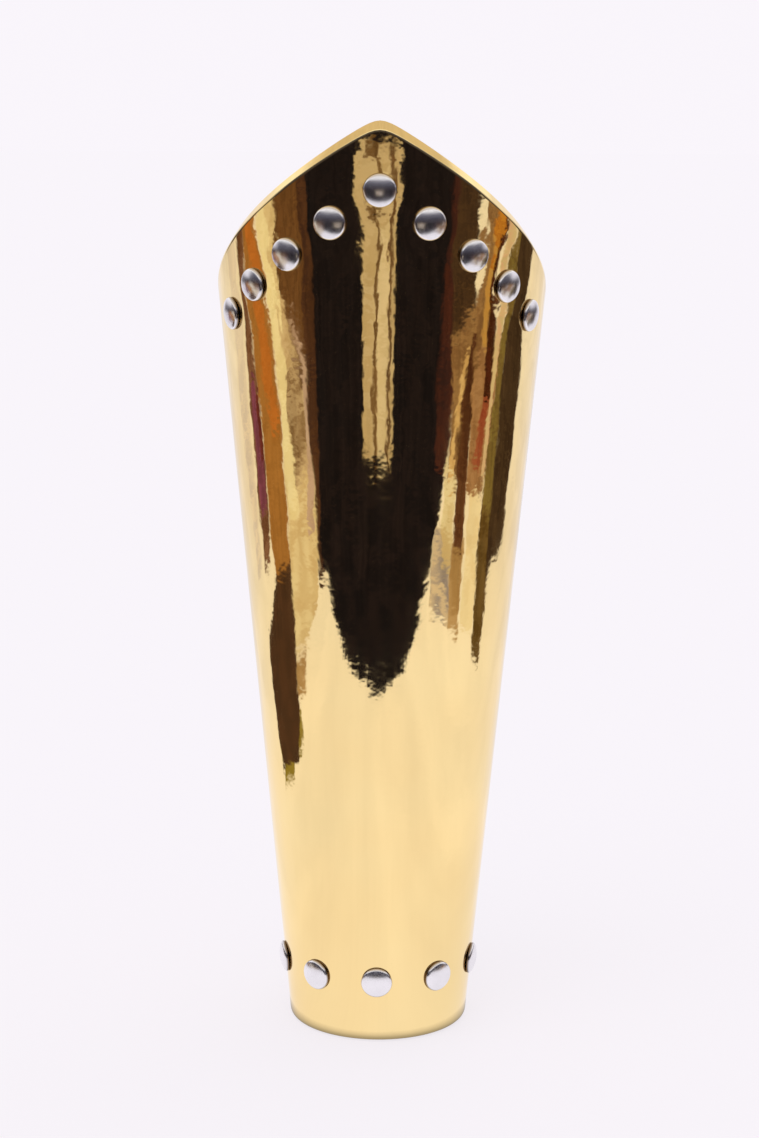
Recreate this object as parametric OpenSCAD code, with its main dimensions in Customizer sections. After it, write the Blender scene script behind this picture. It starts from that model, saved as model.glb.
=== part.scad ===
// Arm armour: a tapered forearm guard of stiff mirror-gold sheet with a pointed elbow
// end, dome rivets, and three buckled straps that close it along the back of the arm.
// +Z runs from the wrist to the elbow, the front faces -Y, and the origin is the centre
// of the wrist opening, on the plane that the guard stands on. Angles round the arm are
// measured from the front, positive towards +X.

/* [Shell] */
// Height of the elbow point above the wrist edge
point_height = 276.5; // [240:0.1:310]
// Outer radius at the wrist edge
wrist_radius = 27.5; // [26:0.5:34]
// Outer radius gained for each millimetre of height
flare = 0.095; // [0.07:0.005:0.11]
// Half of the angle that the shell covers round the arm
wrap_half_angle = 165; // [158:1:168]
// Fall of the elbow edge for each degree round the arm
rim_fall = 0.575; // [0.5:0.005:0.62]
// Half of the angle over which the elbow point is blunted
point_blunt = 3.5; // [3:0.5:10]
// Thickness of the mirror sheet
sheet_t = 0.8; // [0.6:0.1:1]
// Thickness of the stiffening board
board_t = 2; // [1.5:0.1:2.5]
// Thickness of the felt lining
felt_t = 0.6; // [0.4:0.1:0.6]
// Width of the sheet's hem, turned over to the inside
hem_w = 12; // [9:0.5:14]
// Length over which the turned edge rolls over
edge_roll = 2.6; // [1.8:0.1:3]
// Corner radius where the elbow edge meets the closing edges
elbow_corner_r = 11; // [7:0.5:14]
// Corner radius where the wrist edge meets the closing edges
wrist_corner_r = 4; // [3:0.5:6]

/* [Dome rivets] */
// Diameter of a dome rivet's cap
dome_d = 9.5; // [8:0.5:10]
// Height of a dome rivet's cap
dome_h = 2.4; // [1.8:0.1:3]
// Number of dome rivets on each side of the elbow point's middle rivet
elbow_rivets_each_side = 4; // [3:1:4]
// Angle between neighbouring elbow rivets
elbow_rivet_step = 15.8; // [14:0.2:16]
// Height of the elbow edge, without its blunted point, above the rivets
elbow_rivet_inset = 21; // [16:0.5:26]
// Number of dome rivets on each side of the wrist's middle rivet
wrist_rivets_each_side = 2; // [1:1:3]
// Angle between neighbouring wrist rivets
wrist_rivet_step = 39; // [30:0.1:40]
// Height of the wrist rivets
wrist_rivet_height = 19.5; // [18:0.5:24]
// Diameter of a rivet's post
post_d = 3; // [2.6:0.1:3.2]
// Diameter of a rivet's inner cap
back_d = 8; // [7:0.5:8.5]
// Thickness of a rivet's inner cap
back_t = 0.9; // [0.7:0.1:1.2]

/* [Straps] */
// Heights of the middles of the three straps
strap_heights = [37, 93, 149];
// Width of the straps
strap_w = 15; // [12:0.5:16]
// Thickness of the straps
strap_t = 1.5; // [1.2:0.1:1.8]
// Thickness of the folded buckle tabs
tab_t = 1.2; // [1:0.1:1.4]
// Distance from the middle of the closing gap to the buckle's heel bar
heel_offset = 6; // [4:0.5:8]
// Length of a strap past the heel bar
tail_length = 25.5; // [24:0.5:27]
// Length of a strap from the heel bar to its riveted end
root_length = 42.5; // [42:0.5:44]
// Length of a buckle tab from the heel bar to its riveted end
tab_length = 25; // [25:0.5:27]
// Distance between neighbouring adjusting holes
hole_pitch = 12; // [11:0.5:13]
// Width of an adjusting hole
hole_w = 3; // [2.8:0.1:3.4]
// Diameter of a strap rivet's cap
strap_rivet_d = 8; // [7:0.5:8.5]
// Height of a strap rivet's cap
strap_rivet_h = 1.9; // [1.5:0.1:2]

/* [Buckles] */
// Radius of the buckle's wire
wire_r = 1.1; // [1:0.05:1.3]
// Distance between the buckle's heel bar and toe bar
buckle_pitch = 15; // [14:0.5:16]
// Room between the strap's edge and the buckle's side wire
buckle_side_room = 1; // [0.6:0.1:1.4]
// Bend radius of the buckle's wire
wire_bend = 2.1; // [1.8:0.1:2.4]
// Outer radius of the roller on the toe bar
roller_r = 1.75; // [1.6:0.05:1.9]
// Radius of the prong at its root
prong_r = 1; // [0.9:0.05:1.1]
// Width of the prong's eye along the heel bar
eye_w = 2.6; // [2.2:0.1:3]
// Width of the loop that keeps the strap's tail down
keeper_w = 5; // [4:0.5:6]
// Thickness of the keeper loop
keeper_t = 1; // [0.8:0.1:1.2]

/* [Hidden] */
$fn = 48;

gold = "#d8ac45";
silver = "#c9ccd2";
felt = "#26221f";
board = "#7a5a3a";

lower = strap_heights[0];
middle = strap_heights[1];
upper = strap_heights[2];

// Clearances: laid on a surface, glued between layers, pressed under a rivet's cap, round
// a rivet's post, running on a bar, and passing freely
lay = 0.1;
glue = 0.08;
pressed = 0.05;
post_room = 0.1;
running = 0.08;
pass = 0.3;

// How far cutting shapes run past what they cut
past = 1;

taper = atan(flare);
shell_t = 2 * sheet_t + board_t;
post_r = post_d / 2;
hole_r = post_r + post_room;

function radius_at(z) = wrist_radius + flare * z;
function degrees_of(length, z) = length * 180 / (PI * radius_at(z));

// Height of the elbow edge at an angle round the arm
function rim_height(a) =
  point_height - rim_fall * (sqrt(a * a + point_blunt * point_blunt) - point_blunt);

// Drop of a rounded corner of radius r at a distance d from the side edge
function corner_drop(d, r) = d < r ? r - sqrt(max(0, r * r - (r - d) * (r - d))) : 0;

corner_z = rim_height(wrap_half_angle);

// How much longer a step down the arm is than the same step square to the elbow edge
rim_lean = sqrt(1 + pow(rim_fall * 180 / PI / radius_at(corner_z), 2));

// Angles of the rows of points round the slab, from one closing edge to the other: each
// is [share of the half angle left, distance from the edge in mm, share of the thickness]
roll_start = 15;
roll_angles = [roll_start, 35, 60, 90];
edge_steps = [1.6, 3.4, 5.6, 8.6, 12];
round_steps = 34;

function edge_rows(roll) = concat(
  [for (f = roll_angles) [roll * (1 - cos(f) / cos(roll_start)), sin(f)]],
  [for (d = edge_steps) [roll + d, 1]]
);

// A point at an angle round the arm and a height, n out of the shell's outer face. The
// first keeps the height, and the second goes straight out of the face.
function level_point(a, z, n) =
  let (r = radius_at(z) + n / cos(taper)) [r * sin(a), -r * cos(a), z];
function normal_point(a, z, n) =
  let (r = radius_at(z) + n * cos(taper)) [r * sin(a), -r * cos(a), z - n * sin(taper)];

// Section of the slab on one row, as [height, depth] pairs: wrist edge, then elbow edge
section_angles = [0, 32, 60, 75, 105, 120, 148, 180];
section_flat = sin(75);

function rounded_section(low, high, n_mid, half, roll) = concat(
  [for (t = section_angles)
    [low + roll * (1 - sin(t) / section_flat), n_mid - half * cos(t)]],
  [for (t = section_angles)
    [high - roll * (1 - sin(t) / section_flat), n_mid + half * cos(t)]]
);

function square_section(low, high, n_mid, half) =
  [[low, n_mid - half], [low, n_mid + half], [high, n_mid + half], [high, n_mid - half]];

// A slab bent round the arm, its outline set in from the shell's own by inset. Its edges
// are rolled over a length of roll, or square where roll is zero.
module slab(inset, n_outer, n_inner, roll = 0) {
  n_mid = (n_outer + n_inner) / 2;
  half = (n_outer - n_inner) / 2;
  edges = roll > 0 ? edge_rows(roll) : [for (d = concat([0], edge_steps)) [d, 1]];
  last = edges[len(edges) - 1][0];
  half_angle_at = function (z) wrap_half_angle - degrees_of(inset, z);
  span = half_angle_at(corner_z) - degrees_of(last, corner_z);
  side = concat(
    [for (e = edges) [half_angle_at(corner_z) - degrees_of(e[0], corner_z), e[0], e[1]]],
    [for (i = [1 : round_steps]) [span * pow(1 - i / round_steps, 1.2), 99, 1]]
  );
  rows = concat(
    [for (r = side) [-r[0], r[1], r[2]]],
    [for (i = [len(side) - 2 : -1 : 0]) side[i]]
  );
  top_r = max(1, elbow_corner_r - inset);
  low_r = max(1, wrist_corner_r - inset);
  points = [for (row = rows)
    let (
      share = row[0] / half_angle_at(corner_z),
      high = rim_height(row[0]) - inset * rim_lean - corner_drop(row[1], top_r),
      low = inset + corner_drop(row[1], low_r)
    )
    for (p = roll > 0 ? rounded_section(low, high, n_mid, half * row[2], roll * row[2])
                      : square_section(low, high, n_mid, half))
      level_point(share * half_angle_at(p[0]), p[0], p[1])
  ];
  m = roll > 0 ? 2 * len(section_angles) : 4;
  count = len(rows);
  faces = concat(
    [[for (j = [m - 1 : -1 : 0]) j]],
    [[for (j = [0 : m - 1]) (count - 1) * m + j]],
    [for (i = [0 : count - 2], j = [0 : m - 1], k = [0, 1])
      let (q = (j + 1) % m)
      k == 0 ? [i * m + j, i * m + q, (i + 1) * m + q]
             : [i * m + j, (i + 1) * m + q, (i + 1) * m + j]]
  );
  polyhedron(points, faces, convexity = 10);
}

// Puts its children on the shell: x round the arm, y up the arm, z straight out of it
module on_shell(a, z, n = 0)
  rotate([0, 0, a]) translate([0, -radius_at(z), z]) rotate([90 + taper, 0, 0])
    translate([0, 0, n]) children();

// Places of the dome rivets, as [angle, height]
elbow_rivet_places = [for (i = [-elbow_rivets_each_side : elbow_rivets_each_side])
  let (a = i * elbow_rivet_step)
  [a, point_height + rim_fall * (point_blunt - abs(a)) - elbow_rivet_inset]];
wrist_rivet_places = [for (i = [-wrist_rivets_each_side : wrist_rivets_each_side])
  [i * wrist_rivet_step, wrist_rivet_height]];

// Angle of a point on a strap, u millimetres from the heel bar towards the riveted root
function strap_angle(u, z) = 180 + degrees_of(heel_offset - u, z);

rivet_from_end = 5;
rivet_pitch = 9.5;
root_rivet_u = [root_length - rivet_from_end - rivet_pitch, root_length - rivet_from_end];
tab_rivet_u = rivet_from_end - tab_length;
strap_rivet_places = [for (z = strap_heights, u = root_rivet_u) [strap_angle(u, z), z]];
tab_rivet_places = [for (z = strap_heights) [strap_angle(tab_rivet_u, z), z]];
all_rivet_places = concat(
  elbow_rivet_places, wrist_rivet_places, strap_rivet_places, tab_rivet_places
);

module rivet_holes()
  for (p = all_rivet_places)
    on_shell(p[0], p[1], -2 * shell_t) cylinder(r = hole_r, h = 3 * shell_t);

module shell_sheet() {
  color(gold) difference() {
    slab(0, 0, -shell_t, edge_roll);
    slab(sheet_t, -sheet_t, -sheet_t - board_t, edge_roll - sheet_t);
    slab(hem_w, pass - sheet_t - board_t, -shell_t - past);
    rivet_holes();
  }
}

module shell_board() {
  color(board) difference() {
    slab(sheet_t + glue, -sheet_t - glue, -sheet_t - board_t + glue, edge_roll - sheet_t);
    rivet_holes();
  }
}

module shell_lining() {
  color(felt) difference() {
    slab(hem_w + glue, -sheet_t - board_t, -sheet_t - board_t - felt_t);
    rivet_holes();
  }
}

// Outline of a cap: flat seat, rounded rim and shallow dome, for a given radius and height
cap_rim = 0.17;
function cap_outline(r, h) =
  let (
    rim_r = h * cap_rim,
    dome_edge = r - rim_r * 0.55,
    rise = h - rim_r * 1.75,
    dome_r = (dome_edge * dome_edge + rise * rise) / (2 * rise),
    dome_a = asin(dome_edge / dome_r)
  )
  concat(
    [[0, 0], [r - rim_r, 0]],
    [for (t = [-60 : 30 : 30]) [r - rim_r + rim_r * cos(t), rim_r + rim_r * sin(t)]],
    [for (i = [0 : 8]) let (t = dome_a * (1 - i / 8))
      [dome_r * sin(t), h - dome_r * (1 - cos(t))]]
  );

// Depth of the socket in a cap that the post is set in
socket_depth = 1.1;

module rivet_cap(d, h)
  difference() {
    rotate_extrude() polygon(cap_outline(d / 2, h));
    translate([0, 0, -past]) cylinder(r = post_r + running, h = past + socket_depth);
  }

// Inner cap and post of a rivet whose outer cap sits at height seat over the shell
module rivet_back(seat, z) {
  bow = back_d * back_d / 8 / (radius_at(z) - shell_t);
  foot = -shell_t - bow - pressed;
  translate([0, 0, foot - back_t])
    rotate_extrude() polygon([
      [0, 0], [back_d / 2 - back_t * 0.6, 0], [back_d / 2 - back_t * 0.15, back_t * 0.4],
      [back_d / 2, back_t], [0, back_t]
    ]);
  translate([0, 0, foot - back_t / 2])
    cylinder(r = post_r, h = seat + socket_depth - pressed - foot + back_t / 2);
}

// Heights over the shell on which the caps sit
shell_seat = pressed;
strap_seat = lay + strap_t + pressed;
tab_seat = 2 * (lay + tab_t) + pressed;

module caps_at(places, seat, d, h)
  color(silver) for (p = places) on_shell(p[0], p[1], seat) rivet_cap(d, h);

module backs_at(places, seat)
  color(silver) for (p = places) on_shell(p[0], p[1]) rivet_back(seat, p[1]);

// Heights over the shell: of the bars' and the straps' middles, and of the tab's layers
fold_r = wire_r + lay + tab_t;
heel_n = lay + fold_r;
tab_layer_n = lay + tab_t;
keeper_leg_n = tab_layer_n + pressed;
tab_raised_n = keeper_leg_n + keeper_t + 1.5 * lay;
strap_flat_n = lay + strap_t / 2;
strap_over_heel_n = heel_n + fold_r + lay + strap_t / 2;
strap_in_keeper_n = tab_raised_n + tab_t + lay + strap_t / 2;
strap_over_rivet_n = tab_seat + strap_rivet_h + 1.5 * lay + strap_t / 2;
toe_n = 4 * lay + strap_t + pass + roller_r;

// Place of the keeper between the fold and the tab's rivet
keeper_u = -fold_r - keeper_w - 3.1;

// How far the buckle leans in from the heel bar's tangent, for its toe bar to stand at
// toe_n over the shell
function buckle_lean(z) =
  let (h = radius_at(z) + heel_n, t = radius_at(z) + toe_n)
  asin((h * h + buckle_pitch * buckle_pitch - t * t) / (2 * h * buckle_pitch));

// Three ways to give a point as [angle, height over the shell]: u along the shell and n
// over it; x along the tangent at the heel bar and n along the normal there; x along the
// buckle, from its heel bar to its toe bar, and h out of its plane
function along_shell(u, n, z) = [strap_angle(u, z), n];
function beside_heel(x, n, z) =
  let (r = radius_at(z)) [strap_angle(0, z) - atan2(x, r + n), norm([x, r + n]) - r];
function on_buckle(x, h, z) =
  let (t = buckle_lean(z))
  beside_heel(x * cos(t) + h * sin(t), heel_n - x * sin(t) + h * cos(t), z);

// A smooth curve through points, each step cut in four
curve_steps = 4;
function curve_point(a, b, c, d, t) =
  0.5 * (2 * b + (c - a) * t + (2 * a - 5 * b + 4 * c - d) * t * t
    + (3 * b - a - 3 * c + d) * t * t * t);
function smooth(p) = concat(
  [for (i = [0 : len(p) - 2], k = [0 : curve_steps - 1])
    curve_point(p[max(0, i - 1)], p[i], p[i + 1], p[min(len(p) - 1, i + 2)],
      k / curve_steps)],
  [p[len(p) - 1]]
);

// A strap's or tab's end is rounded at its corners. Half of its width at a distance d from
// the end, and the distances at which its outline has points:
end_corner = strap_w * 0.42;
end_steps = [0, 0.35, 1.2, 2.6, 4.4, end_corner];
function end_half_w(d) = strap_w / 2 - end_corner
  + sqrt(max(0, end_corner * end_corner - pow(end_corner - d, 2)));
end_widths = [for (d = end_steps) end_half_w(d)];
function reversed(p) = [for (i = [len(p) - 1 : -1 : 0]) p[i]];

// The strap's middle line between its two ends, from its riveted root to its tail
function strap_run(z) = smooth([
  along_shell(root_length - 9, strap_flat_n, z),
  along_shell(root_length - 14, strap_flat_n, z),
  along_shell(root_length - 18.5, strap_flat_n, z),
  along_shell(buckle_pitch + 5, strap_flat_n + 0.1, z),
  on_buckle(buckle_pitch, -roller_r - pass - strap_t / 2, z),
  on_buckle(buckle_pitch * 0.62, -0.9, z),
  on_buckle(buckle_pitch * 0.3, 2.2, z),
  beside_heel(0.5, strap_over_heel_n, z),
  along_shell(-5, strap_over_heel_n - 0.4, z),
  along_shell(keeper_u, strap_in_keeper_n, z),
  along_shell(keeper_u - keeper_w / 2 - 0.6, strap_in_keeper_n + 0.2, z),
  along_shell(1.5 - tail_length + end_corner, strap_over_rivet_n, z)
]);

// The tab's middle line between its two ends: under the heel bar, round it, and back
// over the keeper's leg
tab_low_n = lay + tab_t / 2;
tab_high_n = tab_layer_n + lay + tab_t / 2;
fold_mid_r = fold_r - tab_t / 2;
function tab_run(z) = concat(
  [for (u = [-16 : 3 : -1]) along_shell(u, tab_low_n, z)],
  [for (t = [-90 : 15 : 90])
    beside_heel(fold_mid_r * cos(t), heel_n + fold_mid_r * sin(t), z)],
  [
    along_shell(-2.5, heel_n + fold_mid_r - 0.2, z),
    along_shell(-5, tab_raised_n + tab_t / 2 + 0.4, z),
    along_shell(keeper_u + keeper_w / 2 + 0.6, tab_raised_n + tab_t / 2, z),
    along_shell(keeper_u, tab_raised_n + tab_t / 2, z),
    along_shell(keeper_u - keeper_w / 2 - 0.3, tab_raised_n + tab_t / 2, z),
    along_shell(tab_rivet_u + strap_rivet_d / 2 + 0.3, tab_high_n, z)
  ]
);

// A band of thickness t along a line of [angle, height over the shell] points, half_w
// wide to each side of height z at each of them
module ribbon(line, half_w, t, z) {
  last = len(line) - 1;
  mm_per_degree = PI * radius_at(z) / 180;
  rows = [for (i = [0 : last])
    let (
      d = line[min(last, i + 1)] - line[max(0, i - 1)],
      v = [d[0] * mm_per_degree, d[1]],
      out = [-v[1] / mm_per_degree, v[0]] / norm(v) * t / 2
    )
    for (side = [[-1, -1], [-1, 1], [1, 1], [1, -1]])
      let (p = line[i] + side[1] * out)
      normal_point(p[0], z + side[0] * half_w[i], p[1])];
  polyhedron(rows, concat(
    [[0, 1, 2, 3]],
    [[4 * last + 3, 4 * last + 2, 4 * last + 1, 4 * last]],
    [for (i = [0 : last - 1], j = [0 : 3], k = [0, 1])
      let (a = 4 * i + j, b = 4 * i + (j + 1) % 4)
      k == 0 ? [a, a + 4, b + 4] : [a, b + 4, b]]
  ), convexity = 10);
}

// A ribbon with rounded ends: u0 and n0 are its first end, u1 and n1 its last
module strap_band(u0, n0, run, u1, n1, side, t, z) {
  line = concat(
    [for (d = end_steps) along_shell(u0 + side * d, n0, z)],
    run,
    reversed([for (d = end_steps) along_shell(u1 + d, n1, z)])
  );
  half_w = concat(end_widths, [for (p = run) strap_w / 2], reversed(end_widths));
  ribbon(line, half_w, t, z);
}

// Puts its children at the heel bar: x to the toe bar, y up the arm, z out of the buckle
module at_heel(z)
  on_shell(strap_angle(0, z), z, heel_n) mirror([1, 0, 0]) rotate([0, buckle_lean(z), 0])
    children();

// A slot with round ends, from x0 to x1 along the strap
module slot(x0, x1, w) {
  translate([x0 + w / 2, -w / 2]) square([x1 - x0 - w, w]);
  for (x = [x0 + w / 2, x1 - w / 2]) translate([x, 0]) circle(d = w);
}

// The hole that the prong passes, from its end beyond the heel bar to the one towards
// the toe bar. It is long enough for the prong to lift inside it.
prong_slot = [-2.6, 6.3];
spare_holes = [1, -1, -2];
spare_hole_l = 4.6;
hole_middle = (prong_slot[0] + prong_slot[1]) / 2;
cut_h = 10;

module strap_holes(z) {
  at_heel(z) translate([0, 0, -strap_t / 3])
    linear_extrude(cut_h) slot(prong_slot[0], prong_slot[1], hole_w);
  for (i = spare_holes)
    on_shell(strap_angle(hole_middle + i * hole_pitch, z), z, -past)
      linear_extrude(cut_h) slot(-spare_hole_l / 2, spare_hole_l / 2, hole_w);
}

module strap(z)
  color(gold) difference() {
    strap_band(root_length, strap_flat_n, strap_run(z),
      -tail_length, strap_over_rivet_n, -1, strap_t, z);
    strap_holes(z);
    for (u = root_rivet_u)
      on_shell(strap_angle(u, z), z, -past) cylinder(r = hole_r, h = cut_h);
  }

module buckle_tab(z)
  color(gold) difference() {
    strap_band(-tab_length, tab_low_n, tab_run(z), -tab_length, tab_high_n, 1, tab_t, z);
    on_shell(strap_angle(0, z), z, -past)
      linear_extrude(cut_h) slot(-fold_r - past, fold_r + 2 * past, eye_w + past);
    on_shell(strap_angle(tab_rivet_u, z), z, -past) cylinder(r = hole_r, h = cut_h);
  }

// Outline from low to high, half_w wide to each side, with corners of radius r
module rounded_box(half_w, low, high, r)
  polygon([for (corner = [0 : 3], t = [0 : 30 : 90])
    let (
      side = corner == 0 || corner == 3 ? 1 : -1,
      middle = [side * (half_w - r), corner < 2 ? high - r : low + r]
    )
    middle + r * [cos(90 * corner + t), sin(90 * corner + t)]]);

// A loop of leather round the strap and the tab's upper layer
keeper_inner_r = 0.2;
module keeper(z) {
  high = strap_in_keeper_n + strap_t / 2 + 2 * pass;
  half_w = strap_w / 2 + pass + lay;
  color(gold) on_shell(strap_angle(keeper_u, z), z)
    rotate([90, 0, 90]) translate([0, 0, -keeper_w / 2])
      linear_extrude(keeper_w) difference() {
        rounded_box(half_w + keeper_t, keeper_leg_n, high + keeper_t,
          keeper_inner_r + keeper_t);
        rounded_box(half_w, keeper_leg_n + keeper_t, high, keeper_inner_r);
      }
}

// Half of the distance between the middles of the side wires
frame_half_w = strap_w / 2 + buckle_side_room + wire_r;

module wire(length) rotate([-90, 0, 0]) translate([0, 0, -length / 2])
  cylinder(r = wire_r, h = length);

module buckle_frame(z) {
  straight = 2 * (frame_half_w - wire_bend);
  color(silver) at_heel(z) {
    for (x = [0, buckle_pitch]) translate([x, 0, 0]) wire(straight);
    for (side = [-1, 1])
      translate([wire_bend, side * frame_half_w, 0]) rotate([0, 90, 0])
        cylinder(r = wire_r, h = buckle_pitch - 2 * wire_bend);
    for (end = [0, 1], side = [0, 1])
      translate([end == 0 ? wire_bend : buckle_pitch - wire_bend,
                 (side == 0 ? -1 : 1) * (frame_half_w - wire_bend), 0])
        rotate([0, 0, end == 0 ? (side == 0 ? 180 : 90) : (side == 0 ? 270 : 0)])
          rotate_extrude(angle = 90) translate([wire_bend, 0]) circle(r = wire_r);
  }
}

module roller(z)
  color(silver) at_heel(z) translate([buckle_pitch, 0, 0]) rotate([90, 0, 0])
    difference() {
      length = 2 * (frame_half_w - wire_bend - pass);
      cylinder(r = roller_r, h = length, center = true);
      cylinder(r = wire_r + running, h = length + past, center = true);
    }

// The prong's shank leaves its eye straight out from the heel bar, at prong_root_a above
// the buckle's plane, bends, and runs straight to rest on the roller. Its bend is a hair
// thinner than its straights, which run a little way into it.
eye_wall = 0.9;
eye_r = wire_r + running + eye_wall;
prong_root_a = 55;
prong_root_l = 3.3;
prong_bend = 2.2;
prong_past_toe = 1.6;
bend_thinner = 0.02;
bend_overlap = 0.05;
prong_rest = [buckle_pitch, roller_r + prong_r + lay];
bend_start = prong_root_l * [cos(prong_root_a), sin(prong_root_a)];
bend_middle = bend_start + prong_bend * [sin(prong_root_a), -cos(prong_root_a)];
rest_from_bend = prong_rest - bend_middle;
shank_a = atan2(rest_from_bend[1], rest_from_bend[0])
  - asin(prong_bend / norm(rest_from_bend));
shank_l = sqrt(pow(norm(rest_from_bend), 2) - prong_bend * prong_bend) + prong_past_toe;

module prong(z)
  color(silver) at_heel(z) {
    difference() {
      union() {
        rotate([90, 0, 0]) cylinder(r = eye_r, h = eye_w, center = true);
        rotate([0, 90 - prong_root_a, 0]) translate([0, 0, eye_r - eye_wall / 2])
          cylinder(r = prong_r, h = prong_root_l - eye_r + eye_wall / 2 + bend_overlap);
      }
      rotate([90, 0, 0]) cylinder(r = wire_r + running, h = eye_w + past, center = true);
    }
    translate([bend_middle[0], 0, bend_middle[1]]) {
      rotate([90, 0, 0]) rotate([0, 0, 90 + shank_a])
        rotate_extrude(angle = prong_root_a - shank_a) translate([prong_bend, 0])
          circle(r = prong_r - bend_thinner);
      rotate([0, 90 - shank_a, 0]) translate([-prong_bend, 0, -bend_overlap]) {
        cylinder(r = prong_r, h = shank_l);
        translate([0, 0, shank_l]) rotate_extrude()
          polygon([[0, 0], for (t = [0 : 22.5 : 90]) prong_r * [cos(t), sin(t)]]);
      }
    }
  }

shell_sheet();
shell_board();
shell_lining();
caps_at(elbow_rivet_places, shell_seat, dome_d, dome_h);  // elbow_rivet_caps
backs_at(elbow_rivet_places, shell_seat);  // elbow_rivet_backs
caps_at(wrist_rivet_places, shell_seat, dome_d, dome_h);  // wrist_rivet_caps
backs_at(wrist_rivet_places, shell_seat);  // wrist_rivet_backs
strap(lower);  // lower_strap
buckle_tab(lower);  // lower_buckle_tab
keeper(lower);  // lower_keeper
buckle_frame(lower);  // lower_buckle_frame
roller(lower);  // lower_roller
prong(lower);  // lower_prong
strap(middle);  // middle_strap
buckle_tab(middle);  // middle_buckle_tab
keeper(middle);  // middle_keeper
buckle_frame(middle);  // middle_buckle_frame
roller(middle);  // middle_roller
prong(middle);  // middle_prong
strap(upper);  // upper_strap
buckle_tab(upper);  // upper_buckle_tab
keeper(upper);  // upper_keeper
buckle_frame(upper);  // upper_buckle_frame
roller(upper);  // upper_roller
prong(upper);  // upper_prong
caps_at(strap_rivet_places, strap_seat, strap_rivet_d, strap_rivet_h);  // strap_rivet_caps
backs_at(strap_rivet_places, strap_seat);  // strap_rivet_backs
caps_at(tab_rivet_places, tab_seat, strap_rivet_d, strap_rivet_h);  // tab_rivet_caps
backs_at(tab_rivet_places, tab_seat);  // tab_rivet_backs
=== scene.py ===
import bpy
import bmesh
from math import asin, atan, atan2, cos, degrees, exp, hypot, pi, radians, sin, sqrt
from mathutils import Matrix, Vector, noise


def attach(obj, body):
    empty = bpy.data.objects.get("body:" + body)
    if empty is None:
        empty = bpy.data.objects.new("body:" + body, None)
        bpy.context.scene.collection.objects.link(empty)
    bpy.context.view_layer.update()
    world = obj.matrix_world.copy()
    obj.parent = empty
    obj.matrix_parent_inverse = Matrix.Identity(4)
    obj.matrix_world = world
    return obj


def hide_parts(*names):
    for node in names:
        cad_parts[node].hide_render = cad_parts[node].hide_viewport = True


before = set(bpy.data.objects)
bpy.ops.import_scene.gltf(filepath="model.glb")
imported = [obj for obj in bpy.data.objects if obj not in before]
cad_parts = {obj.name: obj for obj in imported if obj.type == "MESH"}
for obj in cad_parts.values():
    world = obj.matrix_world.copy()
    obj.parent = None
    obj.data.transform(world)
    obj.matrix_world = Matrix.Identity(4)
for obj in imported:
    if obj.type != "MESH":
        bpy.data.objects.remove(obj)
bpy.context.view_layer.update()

# Sizes, in millimetres and degrees

MM = 0.001

POINT_HEIGHT = 276.5
WRIST_RADIUS = 27.5
FLARE = 0.095
WRAP_HALF_ANGLE = 165.0
RIM_FALL = 0.575
POINT_BLUNT = 3.5
SHEET_T = 0.8
BOARD_T = 2.0
FELT_T = 0.6
HEM_W = 12.0
TURN_W = 1.9             # how far the turned edge reaches in from the outline
ELBOW_CORNER_R = 11.0
WRIST_CORNER_R = 4.0

DOME_D = 9.5
DOME_H = 2.4
ELBOW_RIVET_STEP = 15.8
ELBOW_RIVET_INSET = 21.0
WRIST_RIVET_STEP = 39.0
WRIST_RIVET_HEIGHT = 19.5
POST_R = 1.5
BACK_D = 8.0
BACK_T = 0.9

STRAP_HEIGHTS = {"lower": 37.0, "middle": 93.0, "upper": 149.0}
STRAP_W = 15.0
STRAP_T = 1.5
TAB_T = 1.2
HEEL_OFFSET = 6.0
TAIL_LENGTH = 25.5
ROOT_LENGTH = 42.5
TAB_LENGTH = 25.0
HOLE_PITCH = 12.0
HOLE_W = 3.0
STRAP_RIVET_D = 8.0
STRAP_RIVET_H = 1.9
RIVET_FROM_END = 5.0
RIVET_PITCH = 9.5

WIRE_R = 1.1
BUCKLE_PITCH = 15.0
BUCKLE_SIDE_ROOM = 1.0
WIRE_BEND = 2.1
ROLLER_R = 1.75
PRONG_R = 1.0
EYE_W = 2.6
KEEPER_W = 5.0
KEEPER_T = 1.0
KEEPER_GAP = 3.1

# Room between pieces: laid on, pressed on, running on a bar, passing freely, glued
LAY = 0.1
PRESSED = 0.05
RUNNING = 0.08
PASS = 0.3
GLUE = 0.08

TAPER = atan(FLARE)
SHELL_T = 2 * SHEET_T + BOARD_T


def radius_at(z):
    return WRIST_RADIUS + FLARE * z


def degrees_of(length, z):
    return degrees(length / radius_at(z))


def rim_height(angle):
    return POINT_HEIGHT - RIM_FALL * (hypot(angle, POINT_BLUNT) - POINT_BLUNT)


CORNER_Z = rim_height(WRAP_HALF_ANGLE)
RIM_LEAN = hypot(1, RIM_FALL * degrees(1) / radius_at(CORNER_Z))

ELBOW_RIVETS = [
    (i * ELBOW_RIVET_STEP,
     POINT_HEIGHT + RIM_FALL * (POINT_BLUNT - abs(i * ELBOW_RIVET_STEP)) - ELBOW_RIVET_INSET)
    for i in range(-4, 5)
]
WRIST_RIVETS = [(i * WRIST_RIVET_STEP, WRIST_RIVET_HEIGHT) for i in range(-2, 3)]


def level_point(angle, z, n):
    """A point n out of the shell's face, its height kept."""
    r = radius_at(z) + n / cos(TAPER)
    return Vector((r * sin(radians(angle)), -r * cos(radians(angle)), z)) * MM


def normal_point(angle, z, n):
    """A point n straight out of the shell's face."""
    r = radius_at(z) + n * cos(TAPER)
    return Vector((r * sin(radians(angle)), -r * cos(radians(angle)), z - n * sin(TAPER))) * MM


def turn_by(angle, axis):
    return Matrix.Rotation(radians(angle), 4, axis)


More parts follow.
